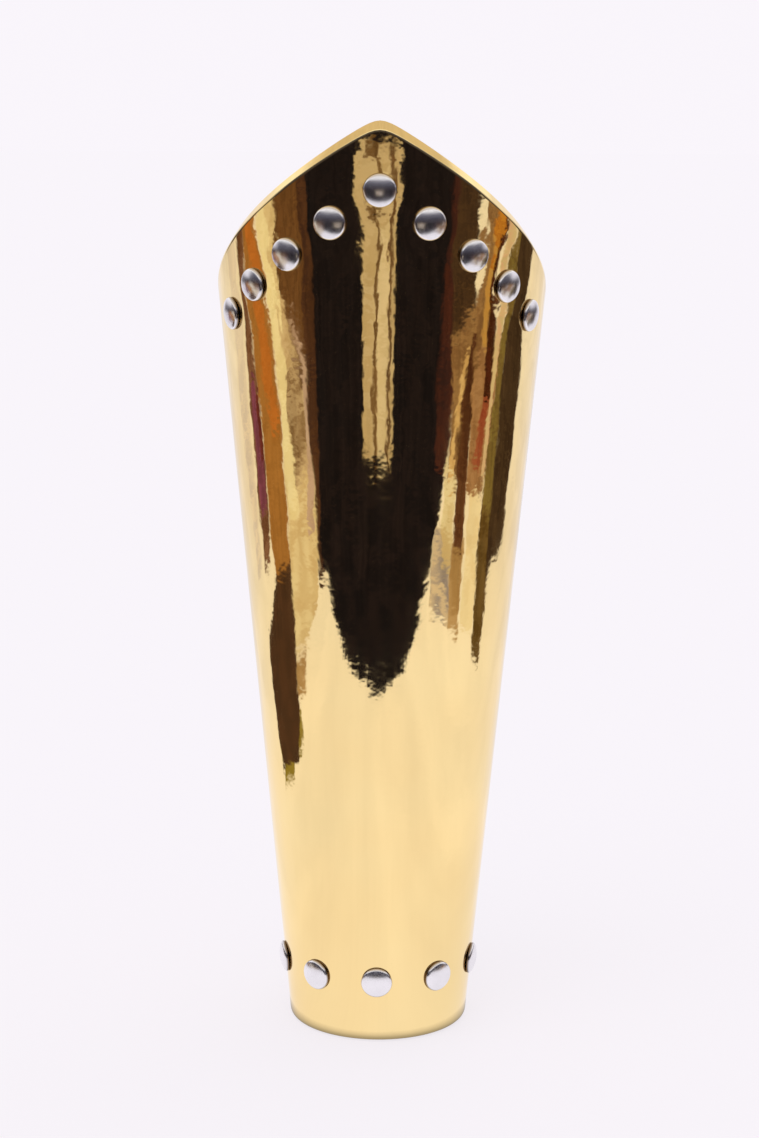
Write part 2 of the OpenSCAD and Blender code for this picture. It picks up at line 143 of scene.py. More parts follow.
def on_shell(angle, z, n=0.0):
    """Place on the shell: x round the arm, y up the arm, z straight out of it."""
    return (
        Matrix.Scale(MM, 4)
        @ turn_by(angle, "Z")
        @ Matrix.Translation((0, -radius_at(z), z))
        @ Matrix.Rotation(radians(90) + TAPER, 4, "X")
        @ Matrix.Translation((0, 0, n))
    )


# Camera


def in_scene(name, data):
    """A new object of the data, in the scene."""
    made = bpy.data.objects.new(name, data)
    bpy.context.scene.collection.objects.link(made)
    return made


CAMERA_PLACE = (-0.0003, -0.71525, 0.27235)
CAMERA_TURN, CAMERA_FALL, CAMERA_ROLL = 0.9, 10.35, 0.33

camera_data = bpy.data.cameras.new("camera")
camera_data.lens = 75.05
camera_data.sensor_width = 36.0
camera_data.clip_end = 100.0
camera = in_scene("camera", camera_data)
camera.matrix_world = (
    turn_by(CAMERA_TURN, "Z")
    @ Matrix.Translation(CAMERA_PLACE)
    @ turn_by(90 - CAMERA_FALL, "X")
    @ turn_by(CAMERA_ROLL, "Z")
)
bpy.context.scene.camera = camera
bpy.context.scene.view_settings.view_transform = "Standard"

# Finishes

GRAIN_SPAN = (0.3, 0.7)


def grain(tree, place, scale, detail=2.0, stretch=(1, 1, 1), distortion=0.0):
    """Noise in Object coordinates, its scale in features per metre."""
    mapping = tree.nodes.new("ShaderNodeMapping")
    mapping.inputs["Scale"].default_value = stretch
    texture = tree.nodes.new("ShaderNodeTexNoise")
    texture.inputs["Scale"].default_value = scale
    texture.inputs["Detail"].default_value = detail
    texture.inputs["Distortion"].default_value = distortion
    tree.links.new(place, mapping.inputs["Vector"])
    tree.links.new(mapping.outputs["Vector"], texture.inputs["Vector"])
    return texture.outputs["Fac"]


def spread(tree, value, low, high):
    """A grain's value, which mostly lies in GRAIN_SPAN, remapped to run from low to high."""
    remap = tree.nodes.new("ShaderNodeMapRange")
    remap.inputs["From Min"].default_value, remap.inputs["From Max"].default_value = GRAIN_SPAN
    remap.inputs["To Min"].default_value = low
    remap.inputs["To Max"].default_value = high
    tree.links.new(value, remap.inputs["Value"])
    return remap.outputs["Result"]


def shades(tree, value, stops):
    """Colours over value, as two (position, colour) stops."""
    ramp = tree.nodes.new("ShaderNodeValToRGB")
    for element, (position, colour) in zip(ramp.color_ramp.elements, stops):
        element.position = position
        element.color = (*colour, 1)
    tree.links.new(value, ramp.inputs["Fac"])
    return ramp.outputs["Color"]


def finish(name, colour, metallic, roughness, stain, rub, waves):
    """A material that follows grains, given as what follows place in a call of grain: a
    stain with its colour stops, a rub with its low and high roughness, or None, and waves
    with their heights in metres."""
    material = bpy.data.materials.new(name)
    material.use_nodes = True
    tree = material.node_tree
    shader = tree.nodes["Principled BSDF"]
    shader.inputs["Base Color"].default_value = (*colour, 1)
    shader.inputs["Metallic"].default_value = metallic
    shader.inputs["Roughness"].default_value = roughness
    place = tree.nodes.new("ShaderNodeTexCoord").outputs["Object"]
    stained = shades(tree, grain(tree, place, *stain[0]), stain[1:])
    tree.links.new(stained, shader.inputs["Base Color"])
    if rub:
        rubbed = spread(tree, grain(tree, place, *rub[0]), *rub[1:])
        tree.links.new(rubbed, shader.inputs["Roughness"])
    below = None
    for wave, height in waves:
        bump = tree.nodes.new("ShaderNodeBump")
        bump.inputs["Strength"].default_value = 1.0
        bump.inputs["Distance"].default_value = height
        tree.links.new(grain(tree, place, *wave), bump.inputs["Height"])
        if below is not None:
            tree.links.new(below, bump.inputs["Normal"])
        below = bump.outputs["Normal"]
    tree.links.new(below, shader.inputs["Normal"])
    return material


GOLD = (1.0, 0.775, 0.368)
# Painted contact shadow: the colour that the chrome caps darken to at their foot, where they meet
# the film
SEAT_PAINTED_SHADOW = (0.22, 0.17, 0.14)

# Mirror film: faint swells from the board below, orange peel, light handling marks
mirror_gold = finish(
    "mirror_gold_film", GOLD, 1.0, 0.04,
    ((28, 2), (0.35, (0.99, 0.757, 0.353)), (0.65, (1.0, 0.785, 0.377))),
    ((60, 4), 0.028, 0.06),
    [((120, 1, (1, 1, 0.45), 0.3), 0.00013), ((330, 1, (1, 1, 0.75), 0.3), 0.000024),
     ((540, 1), 0.000009)])

# Gold film over leather: softer shine, with the leather's grain showing through
strap_gold = finish(
    "strap_gold_film", (0.98, 0.72, 0.33), 1.0, 0.16,
    ((90, 3), (0.3, (0.93, 0.66, 0.28)), (0.7, (1.0, 0.76, 0.38))),
    ((420, 3), 0.11, 0.22),
    [((150, 1), 0.00012), ((1500, 3, (1, 1, 1), 0.8), 0.00003)])

# Burnished cut edge and flesh side of the straps
LEATHER_FIBRE = (2600, 3, (1, 1, 0.4))
leather_edge = finish(
    "burnished_leather", (0.16, 0.075, 0.03), 0.0, 0.6,
    ((380, 4), (0.3, (0.09, 0.04, 0.016)), (0.7, (0.22, 0.11, 0.05))),
    (LEATHER_FIBRE, 0.45, 0.75), [(LEATHER_FIBRE, 0.00006)])

# Dark wool felt with tangled fibres
FELT_FIBRE = (2400, 5, (1, 1, 1), 2.0)
felt = finish(
    "wool_felt", (0.035, 0.03, 0.027), 0.0, 0.95,
    (FELT_FIBRE, (0.3, (0.016, 0.014, 0.012)), (0.7, (0.07, 0.062, 0.056))),
    None, [((420, 3), 0.00025), (FELT_FIBRE, 0.00018)])
felt_shader = felt.node_tree.nodes["Principled BSDF"]
felt_shader.inputs["Sheen Weight"].default_value = 0.35
felt_shader.inputs["Sheen Roughness"].default_value = 0.5

# Fibre board, which only shows at its raw edge
BOARD_FIBRE = (1400, 4, (1, 1, 0.3))
board = finish(
    "fibre_board", (0.3, 0.19, 0.1), 0.0, 0.8,
    (BOARD_FIBRE, (0.3, (0.2, 0.12, 0.06)), (0.7, (0.36, 0.24, 0.13))),
    None, [(BOARD_FIBRE, 0.00005)])


def chrome_finish(name, tint, low, high):
    """Bright plating with fine handling marks, darkened by a painted contact shadow where "seat"
    is painted on a piece.
    """
    worn = tuple(0.94 * c for c in tint)
    material = finish(name, tint, 1.0, low, ((200, 2), (0.3, worn), (0.7, tint)),
                      ((700, 4), low, high), [((260, 1), 0.000015)])
    tree = material.node_tree
    colour = tree.nodes["Principled BSDF"].inputs["Base Color"]
    seat = tree.nodes.new("ShaderNodeAttribute")
    seat.attribute_name = "seat"
    shadow_mix = tree.nodes.new("ShaderNodeMix")
    shadow_mix.data_type = "RGBA"
    # Sockets by number: several of the mix node's sockets share the names Factor, A and B
    # Painted contact shadow: the base colour is mixed towards SEAT_PAINTED_SHADOW where "seat" is
    # 1
    tree.links.new(seat.outputs["Fac"], shadow_mix.inputs[0])
    tree.links.new(colour.links[0].from_socket, shadow_mix.inputs[6])
    shadow_mix.inputs[7].default_value = (*SEAT_PAINTED_SHADOW, 1)
    tree.links.new(shadow_mix.outputs[2], colour)
    return material


FINISHES = {
    "mirror_gold": [mirror_gold],
    "strap_gold": [strap_gold, leather_edge],
    "rivet_chrome": [chrome_finish("rivet_chrome", (0.9, 0.885, 0.905), 0.2, 0.26)],
    "buckle_chrome": [chrome_finish("buckle_chrome", (0.86, 0.86, 0.88), 0.05, 0.11)],
    "felt": [felt],
}

# Ways to make a piece


def object_from(bm, name, materials):
    """A new object of a bmesh, in the scene."""
    mesh = bpy.data.meshes.new(name)
    bm.to_mesh(mesh)
    bm.free()
    for material in materials:
        mesh.materials.append(material)
    return in_scene(name, mesh)


def make_piece(bm, name, body, slot, nodes, sharp=35.0):
    """Turns a bmesh into a named piece that rides on a body and stands for the nodes."""
    piece = object_from(bm, name, FINISHES[slot])
    mesh = piece.data
    mesh.polygons.foreach_set("use_smooth", [True] * len(mesh.polygons))
    mesh.set_sharp_from_angle(angle=radians(sharp))
    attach(piece, body)
    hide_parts(*nodes)
    return piece


def carry_on(bm, edges, put_vert, row):
    """Extrudes a line of edges, places each new vertex on the row, and gives back the new
    edges."""
    made = bmesh.ops.extrude_edge_only(bm, edges=edges)["geom"]
    fresh = {g for g in made if isinstance(g, bmesh.types.BMVert)}
    for vert in fresh:
        put_vert(vert, row)
    return [g for g in made if isinstance(g, bmesh.types.BMEdge)
            and g.verts[0] in fresh and g.verts[1] in fresh]


def sweep(bm, section, stations, place_point, closed=False):
    """Carries a ring of section points through stations, with place_point(station, point)
    as the place of each, and gives back the layer of the points' numbers."""
    number = bm.verts.layers.int.get("number") or bm.verts.layers.int.new("number")

    def put_vert(vert, station):
        vert.co = place_point(station, section[vert[number]])

    ring = bmesh.ops.create_circle(bm, segments=len(section), radius=1.0)["verts"]
    for i, vert in enumerate(ring):
        vert[number] = i
        put_vert(vert, stations[0])
    edges = list({e for v in ring for e in v.link_edges})
    first = edges
    for station in stations[1:]:
        edges = carry_on(bm, edges, put_vert, station)
    if closed:
        bmesh.ops.bridge_loops(bm, edges=first + edges)
    else:
        for loop in (first, edges):
            bmesh.ops.contextual_create(bm, geom=loop)
    bmesh.ops.recalc_face_normals(bm, faces=bm.faces)
    return number


def paint_sides(bm, number, face):
    """Gives the second material to all that isn't between the face's own section points."""
    for f in bm.faces:
        f.material_index = 0 if {v[number] for v in f.verts} <= face else 1


def spun(profile, steps=64):
    """A solid of revolution about Z from (radius, height) points, starting and ending on
    the axis, or as a ring where it closes on itself."""
    bm = bmesh.new()
    verts = [bm.verts.new((r, 0, z)) for r, z in profile]
    edges = [bm.edges.new(pair) for pair in zip(verts, verts[1:])]
    if profile[0][0] > 1e-6:
        edges.append(bm.edges.new((verts[-1], verts[0])))
    bmesh.ops.spin(bm, geom=verts + edges, axis=(0, 0, 1), cent=(0, 0, 0),
                   angle=2 * pi, steps=steps, use_merge=True)
    bmesh.ops.remove_doubles(bm, verts=bm.verts, dist=1e-5)
    bmesh.ops.recalc_face_normals(bm, faces=bm.faces)
    return bm


def put(bm, places):
    """One bmesh that holds a copy of bm at each of the places."""
    pattern = bpy.data.meshes.new("pattern")
    bm.to_mesh(pattern)
    bm.free()
    joined = bmesh.new()
    for place in places:
        before = len(joined.verts)
        joined.from_mesh(pattern)
        joined.verts.ensure_lookup_table()
        bmesh.ops.transform(joined, matrix=place, verts=joined.verts[before:])
    bpy.data.meshes.remove(pattern)
    bmesh.ops.recalc_face_normals(joined, faces=joined.faces)
    return joined


# Sheet, lining and board

COLUMNS = 200
ROWS = 140
EDGE_SHARE = 16 / COLUMNS    # share of the columns that a rounded corner takes
ROLL_STEPS = 18
FACE_ROWS = (TURN_W + 0.7, TURN_W)
HEM_ROWS = (4.0, 6.0, 8.0, 10.0, HEM_W)

ELBOW_DENT = 0.11
WRIST_DENT = 0.05
DENT_REACH = 16.0
DENT_FLAT_R = 3.4
DENT_SLOPE = 3.6


def place_on_outline(c, h, inset):
    """Angle and height of a point of the shell, inset from its outline: c runs from -1 to
    1 round the arm, and h from 0 at the wrist to 1 at the elbow."""
    top_r = max(1.0, ELBOW_CORNER_R - inset)
    low_r = max(1.0, WRIST_CORNER_R - inset)
    from_edge = 1 - abs(c)
    half = WRAP_HALF_ANGLE - degrees_of(inset, CORNER_Z)
    turn = radians(90) * min(1.0, from_edge / EDGE_SHARE)
    corner = low_r + (top_r - low_r) * h
    distance = corner * (1 - cos(turn))
    if from_edge > EDGE_SHARE:
        whole = radians(half) * radius_at(CORNER_Z)
        distance += (whole - corner) * (from_edge - EDGE_SHARE) / (1 - EDGE_SHARE)
    angle = half - degrees_of(distance, CORNER_Z)
    high = rim_height(angle) - inset * RIM_LEAN - top_r * (1 - sin(turn))
    low = inset + low_r * (1 - sin(turn))
    z = low + (high - low) * h
    share = angle / half
    turned = share * (WRAP_HALF_ANGLE - degrees_of(inset, z))
    return (turned if c >= 0 else -turned), z


def held(x):
    """x, held between 0 and 1."""
    return min(1.0, max(0.0, x))


def film_dent(angle, z):
    """How far the film sinks at a point: drawn in round the rivets, and slightly wavy."""
    dent = 0.0
    round_arm = radians(1) * radius_at(z)
    for rivets, depth in ((ELBOW_RIVETS, ELBOW_DENT), (WRIST_RIVETS, WRIST_DENT)):
        for rivet_angle, rivet_z in rivets:
            x = (angle - rivet_angle) * round_arm
            y = z - rivet_z
            if abs(x) < DENT_REACH and abs(y) < DENT_REACH:
                pucker = 1 + 0.35 * sin(3 * atan2(y, x) + rivet_angle)
                past = max(0.0, hypot(x, y) - DENT_FLAT_R)
                dent += depth * pucker * exp(-(past / DENT_SLOPE) ** 2)
    place = level_point(angle, z, 0)
    place.z *= 0.3    # the waves run up the arm
    wave = noise.noise(place * 45) + 0.5 * noise.noise(place * 95 + Vector((7, 3, 1)))
    return dent + (0.03 + 0.09 * held((z - 60) / 70)) * (0.6 + 0.5 * wave)


def roll_section(step, h):
    """Inset and depth of a step of the turned edge: tight at the wrist, and pressed to a
    long bevel on its outside along the elbow."""
    turn = radians(180) * step / ROLL_STEPS
    outside = 0.75 + 0.4 * min(1.0, h / 0.1) + 0.85 * max(0.0, (h - 0.85) / 0.15)
    inside = min(outside, 1.15)
    power = outside if step * 2 <= ROLL_STEPS else inside
    fall = abs(cos(turn)) ** power * (1 if cos(turn) > 0 else -1)
    return TURN_W * (1 - sin(turn) ** power), SHELL_T / 2 * (fall - 1)


def face_sheet(bm, way):
    """Faces an open sheet out of the arm, or into it where way is -1."""
    bmesh.ops.recalc_face_normals(bm, faces=bm.faces)
    front = level_point(0, 120, 0)
    middle = min(bm.faces, key=lambda f: (f.calc_center_median() - front).length)
    if middle.normal.y * way > 0:
        bmesh.ops.reverse_faces(bm, faces=bm.faces)


def thicken(piece, name, thickness):
    wall = piece.modifiers.new(name, "SOLIDIFY")
    wall.thickness = thickness * MM
    wall.offset = -1.0


def make_shell_sheet():
    bm = bmesh.new()
    place = bm.verts.layers.float_vector.new("place")

    def put_on_face(vert, inset):
        angle, z = place_on_outline(*vert[place].xy, inset)
        vert.co = level_point(angle, z, -film_dent(angle, z))

    def put_on_roll(vert, step):
        inset, n = roll_section(step, vert[place].y)
        angle, z = place_on_outline(*vert[place].xy, inset)
        fade = max(0.0, cos(radians(180) * step / ROLL_STEPS))
        vert.co = level_point(angle, z, n - fade * film_dent(angle, z))

    def put_on_hem(vert, inset):
        vert.co = level_point(*place_on_outline(*vert[place].xy, inset), -SHELL_T)

    bmesh.ops.create_grid(bm, x_segments=COLUMNS, y_segments=ROWS, size=1.0)
    for vert in bm.verts:
        vert[place] = (vert.co.x, (vert.co.y + 1) / 2, 0)
        put_on_face(vert, TURN_W + 1.5)
    edges = [e for e in bm.edges if e.is_boundary]
    for put_vert, rows in ((put_on_face, FACE_ROWS), (put_on_roll, range(1, ROLL_STEPS + 1)),
                           (put_on_hem, HEM_ROWS)):
        for row in rows:
            edges = carry_on(bm, edges, put_vert, row)
    face_sheet(bm, 1)
    sheet = make_piece(bm, "gold_sheet", "shell", "mirror_gold", ["shell_sheet"], sharp=60)
    thicken(sheet, "sheet_thickness", SHEET_T)


def make_lining():
    bm = bmesh.new()
    bmesh.ops.create_grid(bm, x_segments=110, y_segments=70, size=1.0)
    for vert in bm.verts:
        angle, z = place_on_outline(vert.co.x, (vert.co.y + 1) / 2, HEM_W + GLUE)
        uneven = 0.03 * (noise.noise(Vector((angle * 0.09, z * 0.11, 2))) - 0.6)
        vert.co = level_point(angle, z, -SHEET_T - BOARD_T - FELT_T - uneven)
    face_sheet(bm, -1)
    lining = make_piece(bm, "felt_lining", "shell", "felt", ["shell_lining"], sharp=60)
    thicken(lining, "felt_thickness", FELT_T)


make_shell_sheet()
make_lining()
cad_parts["shell_board"].data.materials.clear()
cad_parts["shell_board"].data.materials.append(board)

# Rivets

ROOT_RIVET_U = (ROOT_LENGTH - RIVET_FROM_END - RIVET_PITCH, ROOT_LENGTH - RIVET_FROM_END)
TAB_RIVET_U = RIVET_FROM_END - TAB_LENGTH
SHELL_SEAT = PRESSED
STRAP_SEAT = LAY + STRAP_T + PRESSED
TAB_SEAT = 2 * (LAY + TAB_T) + PRESSED


def strap_angle(u, z):
    """Angle of a point u along a strap, from the heel bar towards its riveted root."""
    return 180 + degrees_of(HEEL_OFFSET - u, z)


# The pressed domes are a little lower than the plain solids
DOME_SHARE = 0.82
CAP_STEPS = 10
# The radius of a cap's shoulder in the cap's own, and the cap's own in its dome's
SHOULDER_SHARE = 0.22
CURVE_SHARE = 0.47


def cap_profile(r, h):
    """A rivet's cap: flat seat, low dome, and a round shoulder that falls to the seat."""
    h *= DOME_SHARE
    shoulder = SHOULDER_SHARE * r
    dome_r = r / CURVE_SHARE
    turn = asin((r - shoulder) / (dome_r - shoulder))
    middle = h - dome_r * (1 - cos(turn)) - shoulder * cos(turn)
    points = [(0.0, -0.2), (r - 0.35, -0.2), (r - 0.13, -0.12), (r - 0.03, 0.0)]
    for i in range(CAP_STEPS + 1):
        t = radians(90) - (radians(90) - turn) * i / CAP_STEPS
        points.append((r - shoulder + shoulder * sin(t), middle + shoulder * cos(t)))
    for i in range(1, CAP_STEPS + 1):
        t = turn * (1 - i / CAP_STEPS)
        points.append((dome_r * sin(t), h - dome_r * (1 - cos(t))))
    return points


def back_profile(seat, z):
    """A rivet's inner cap and its post, up to just under the outer cap."""
    bow = BACK_D ** 2 / 8 / (radius_at(z) - SHELL_T)
    foot = -SHELL_T - bow - PRESSED
    r = BACK_D / 2
    low = foot - BACK_T
    return [
        (0.0, low), (r * 0.5, low + 0.03), (r - 0.75, low + 0.1), (r - 0.4, low + 0.24),
        (r - 0.14, low + 0.5), (r, foot - 0.1), (r - 0.1, foot), (POST_R, foot),
        (POST_R, seat + 0.4), (0.0, seat + 0.4),
    ]


def make_rivets(name, places, seat, r, h):
    """A row of rivets. Their caps' "seat", a painted contact shadow, is 1 at the foot and 0 on the
    dome.
    """
    cap = spun(cap_profile(r, h))
    painted_foot_shadow = cap.verts.layers.float.new("seat")
    # Painted contact shadow: 1 at the cap's foot, fading to 0 up the shoulder
    for vert in cap.verts:
        vert[painted_foot_shadow] = held((0.16 * r - vert.co.z) / (0.12 * r))
    backs = spun(back_profile(seat, places[0][1]), 40)
    for bm, kind, node, n in ((cap, "_domes", "_caps", seat), (backs, "_inner_caps", "_backs", 0)):
        make_piece(put(bm, [on_shell(a, z, n) for a, z in places]), name + kind,
                   "shell", "rivet_chrome", [name + node])


ROOT_RIVETS = [(strap_angle(u, z), z) for z in STRAP_HEIGHTS.values() for u in ROOT_RIVET_U]
TAB_RIVETS = [(strap_angle(TAB_RIVET_U, z), z) for z in STRAP_HEIGHTS.values()]

make_rivets("elbow_rivet", ELBOW_RIVETS, SHELL_SEAT, DOME_D / 2, DOME_H)
make_rivets("wrist_rivet", WRIST_RIVETS, SHELL_SEAT, DOME_D / 2, DOME_H)
make_rivets("strap_rivet", ROOT_RIVETS, STRAP_SEAT, STRAP_RIVET_D / 2, STRAP_RIVET_H)
make_rivets("tab_rivet", TAB_RIVETS, TAB_SEAT, STRAP_RIVET_D / 2, STRAP_RIVET_H)

# Straps, tabs and keepers

# Names in _N are heights over the shell, and names in _U are places along a strap
FOLD_R = WIRE_R + LAY + TAB_T
HEEL_N = LAY + FOLD_R
TAB_LAYER_N = LAY + TAB_T
KEEPER_LEG_N = TAB_LAYER_N + PRESSED
TAB_RAISED_N = KEEPER_LEG_N + KEEPER_T + 1.5 * LAY
STRAP_FLAT_N = LAY + STRAP_T / 2
STRAP_OVER_HEEL_N = HEEL_N + FOLD_R + LAY + STRAP_T / 2
STRAP_IN_KEEPER_N = TAB_RAISED_N + TAB_T + LAY + STRAP_T / 2
STRAP_OVER_RIVET_N = TAB_SEAT + STRAP_RIVET_H + 1.5 * LAY + STRAP_T / 2
TOE_N = 4 * LAY + STRAP_T + PASS + ROLLER_R
KEEPER_U = -FOLD_R - KEEPER_W - KEEPER_GAP
END_CORNER = STRAP_W * 0.42
END_STEPS = (0.0, 0.2, 0.6, 1.2, 2.0, 3.0, 4.4, END_CORNER)


def buckle_lean(z):
    """How far the buckle leans in, so that its roller lies at its own height."""
    h = radius_at(z) + HEEL_N
    t = radius_at(z) + TOE_N
    return degrees(asin((h * h + BUCKLE_PITCH ** 2 - t * t) / (2 * h * BUCKLE_PITCH)))


def along_shell(u, n, z):
    """Point of a strap's run, as (angle, height over the shell)."""
    return (strap_angle(u, z), n)


def beside_heel(x, n, z):
    """The same, x square to the heel bar's own radius."""
    r = radius_at(z)
    return (strap_angle(0, z) - degrees(atan2(x, r + n)), hypot(x, r + n) - r)


def on_buckle(x, h, z):
    """The same, x from the heel bar to the toe bar and h out of the buckle."""
    t = radians(buckle_lean(z))
    return beside_heel(x * cos(t) + h * sin(t), HEEL_N - x * sin(t) + h * cos(t), z)


def at_heel(z):
    """Place at the heel bar: x to the toe bar, y up the arm, z out of the buckle."""
    return (
        on_shell(strap_angle(0, z), z, HEEL_N)
        @ Matrix.Scale(-1, 4, (1, 0, 0))
        @ turn_by(buckle_lean(z), "Y")
    )


def curve_through(points, steps=6):
    """A smooth curve through (angle, height over the shell) points."""
    last = len(points) - 1
    made = []
    for i in range(last):
        a, b, c, d = (points[max(0, i - 1)], points[i], points[i + 1], points[min(last, i + 2)])
        for k in range(steps):
            t = k / steps
            made.append(tuple(
                0.5 * (2 * b[j] + (c[j] - a[j]) * t
                       + (2 * a[j] - 5 * b[j] + 4 * c[j] - d[j]) * t * t
                       + (3 * b[j] - a[j] - 3 * c[j] + d[j]) * t * t * t)
                for j in (0, 1)))
    return made + [points[last]]


def strap_run(z):
    return curve_through([
        *(along_shell(ROOT_LENGTH - d, STRAP_FLAT_N, z) for d in (9, 14, 18.5)),
        along_shell(BUCKLE_PITCH + 5, STRAP_FLAT_N + 0.1, z),
        on_buckle(BUCKLE_PITCH, -ROLLER_R - PASS - STRAP_T / 2, z),
        on_buckle(BUCKLE_PITCH * 0.62, -0.9, z),
        on_buckle(BUCKLE_PITCH * 0.3, 2.2, z),
        beside_heel(0.5, STRAP_OVER_HEEL_N, z),
        along_shell(-5, STRAP_OVER_HEEL_N - 0.4, z),
        along_shell(KEEPER_U, STRAP_IN_KEEPER_N, z),
        along_shell(KEEPER_U - KEEPER_W / 2 - 0.6, STRAP_IN_KEEPER_N + 0.2, z),
        along_shell(1.5 - TAIL_LENGTH + END_CORNER, STRAP_OVER_RIVET_N, z),
    ])


def tab_run(z):
    mid_r = FOLD_R - TAB_T / 2
    low = LAY + TAB_T / 2
    high = TAB_LAYER_N + LAY + TAB_T / 2
    run = [along_shell(u, low, z) for u in range(-16, 0, 3)]
    run += [beside_heel(mid_r * cos(radians(t)), HEEL_N + mid_r * sin(radians(t)), z)
            for t in range(-90, 91, 10)]
    run += curve_through([
        along_shell(-2.5, HEEL_N + mid_r - 0.2, z),
        along_shell(-5, TAB_RAISED_N + TAB_T / 2 + 0.4, z),
        *(along_shell(KEEPER_U + d, TAB_RAISED_N + TAB_T / 2, z)
          for d in (KEEPER_W / 2 + 0.6, 0, -KEEPER_W / 2 - 0.3)),
        along_shell(TAB_RIVET_U + STRAP_RIVET_D / 2 + 0.3, high, z),
    ], 3)
    return run


# Ring of a strap's section, as (side, inset from the side, share of half the thickness).
# Its face has a creased line near each side, and its sides are rounded over.
HALF_FACE = [(0.7, 1.0), (1.35, 1.0), (1.6, 0.84), (1.85, 1.0), (3.8, 1.0)]
HALF_SIDE = [(0.42, 0.92), (0.18, 0.68), (0.03, 0.3)]
BAND_FACE = ([(-1, *p) for p in HALF_FACE] + [(0, 0.0, 1.0)]
             + [(1, *p) for p in reversed(HALF_FACE)])
BAND_SIDE = HALF_SIDE + [(inset, -share) for inset, share in reversed(HALF_SIDE)]
BAND = (BAND_FACE + [(1, *p) for p in BAND_SIDE]
        + [(1, 0.7, -1.0), (0, 0.0, -1.0), (-1, 0.7, -1.0)]
        + [(-1, *p) for p in reversed(BAND_SIDE)])


def end_half_w(d):
    return STRAP_W / 2 - END_CORNER + sqrt(max(0.0, END_CORNER ** 2 - (END_CORNER - d) ** 2))


def make_band(u0, n0, way, run, u1, n1, t, z):
    """A band t thick with rounded ends: from its end at u0, whose corners reach way from
    there, over its run, to its end at u1."""
    line = [along_shell(u0 + way * d, n0, z) for d in END_STEPS] + run
    line += [along_shell(u1 + d, n1, z) for d in reversed(END_STEPS)]
    ends = [end_half_w(d) for d in END_STEPS]
    half_w = ends + [STRAP_W / 2] * len(run) + ends[::-1]
    thin = [t * min(1.0, 0.6 + d * 1.2) for d in END_STEPS]
    thickness = thin + [t] * len(run) + thin[::-1]
    round_arm = radians(1) * radius_at(z)
    last = len(line) - 1

    def place_point(i, point):
        before, after = line[max(0, i - 1)], line[min(last, i + 1)]
        slope = Vector(((after[0] - before[0]) * round_arm, after[1] - before[1])).normalized()
        side, inset, share = point
        x = side * (half_w[i] - inset * min(1.0, half_w[i] / END_STEPS[-2]))
        y = share * thickness[i] / 2
        return normal_point(line[i][0] - slope.y * y / round_arm, z + x,
                            line[i][1] + slope.x * y)

    bm = bmesh.new()
    number = sweep(bm, BAND, range(last + 1), place_point)
    paint_sides(bm, number, set(range(len(BAND_FACE))))
    return bm


def slot_cutter(place, x0, x1, w, low, high):
    """A tool with round ends that punches a slot from x0 to x1, w wide."""
    bm = bmesh.new()
    ring = bmesh.ops.create_circle(bm, cap_ends=True, segments=28, radius=w / 2)["verts"]
    for vert in ring:
        vert.co.x += (x1 - w / 2) if vert.co.x > 0 else (x0 + w / 2)
        vert.co.z = low
    made = bmesh.ops.extrude_face_region(bm, geom=list(bm.faces))["geom"]
    top = [g for g in made if isinstance(g, bmesh.types.BMVert)]
    bmesh.ops.translate(bm, verts=top, vec=(0, 0, high - low))
    bmesh.ops.transform(bm, matrix=place, verts=bm.verts)
    bmesh.ops.recalc_face_normals(bm, faces=bm.faces)
    for f in bm.faces:
        f.material_index = 1
    return object_from(bm, "punch", FINISHES["strap_gold"])


def punched(bm, cutters):
    """The bmesh with each cutter's slot taken out of it."""
    blank = object_from(bm, "blank", FINISHES["strap_gold"])
    for cutter in cutters:
        cut = blank.modifiers.new("slot", "BOOLEAN")
        cut.operation = "DIFFERENCE"
        cut.solver = "EXACT"
        cut.object = cutter
    bpy.context.view_layer.update()
    done = bpy.data.meshes.new_from_object(
        blank.evaluated_get(bpy.context.evaluated_depsgraph_get()))
    result = bmesh.new()
    result.from_mesh(done)
    bmesh.ops.remove_doubles(result, verts=result.verts, dist=1e-6)
    for leftover in [blank] + cutters:
        old = leftover.data
        bpy.data.objects.remove(leftover)
        bpy.data.meshes.remove(old)
    bpy.data.meshes.remove(done)
    return result


PRONG_SLOT = (-2.6, 6.3)
HOLE_MIDDLE = sum(PRONG_SLOT) / 2
SPARE_HOLES = (1, -1, -2)
SPARE_HOLE_L = 4.6


def make_strap(name, z):
    bm = make_band(ROOT_LENGTH, STRAP_FLAT_N, -1, strap_run(z), -TAIL_LENGTH,
                   STRAP_OVER_RIVET_N, STRAP_T, z)
    cutters = [slot_cutter(at_heel(z), *PRONG_SLOT, HOLE_W, -0.5, 10)]
    for i in SPARE_HOLES:
        cutters.append(slot_cutter(
            on_shell(strap_angle(HOLE_MIDDLE + i * HOLE_PITCH, z), z),
            -SPARE_HOLE_L / 2, SPARE_HOLE_L / 2, HOLE_W, -1, 10))
    make_piece(punched(bm, cutters), name + "_gold_strap", "shell", "strap_gold",
               [name + "_strap"])


def make_tab(name, z):
    bm = make_band(-TAB_LENGTH, LAY + TAB_T / 2, 1, tab_run(z), -TAB_LENGTH,
                   TAB_LAYER_N + LAY + TAB_T / 2, TAB_T, z)
    cutters = [slot_cutter(on_shell(strap_angle(0, z), z), -FOLD_R - 1, FOLD_R + 2,
                           EYE_W + 1, -1, 9)]
    make_piece(punched(bm, cutters), name + "_gold_tab", "shell", "strap_gold",
               [name + "_buckle_tab"])


# Ring of the keeper's section, as (place across its width, share of its thickness), and
# the numbers of the points on its face
KEEPER_BAND = [(-1, 0.25), (-1, 0.75), (-0.94, 0.95), (-0.82, 1.0), (0, 1.0), (0.82, 1.0),
               (0.94, 0.95), (1, 0.75), (1, 0.25), (0.9, 0.0), (0, 0.0), (-0.9, 0.0)]
KEEPER_FACE = {2, 3, 4, 5, 6}
KEEPER_CORNER_R = 0.45


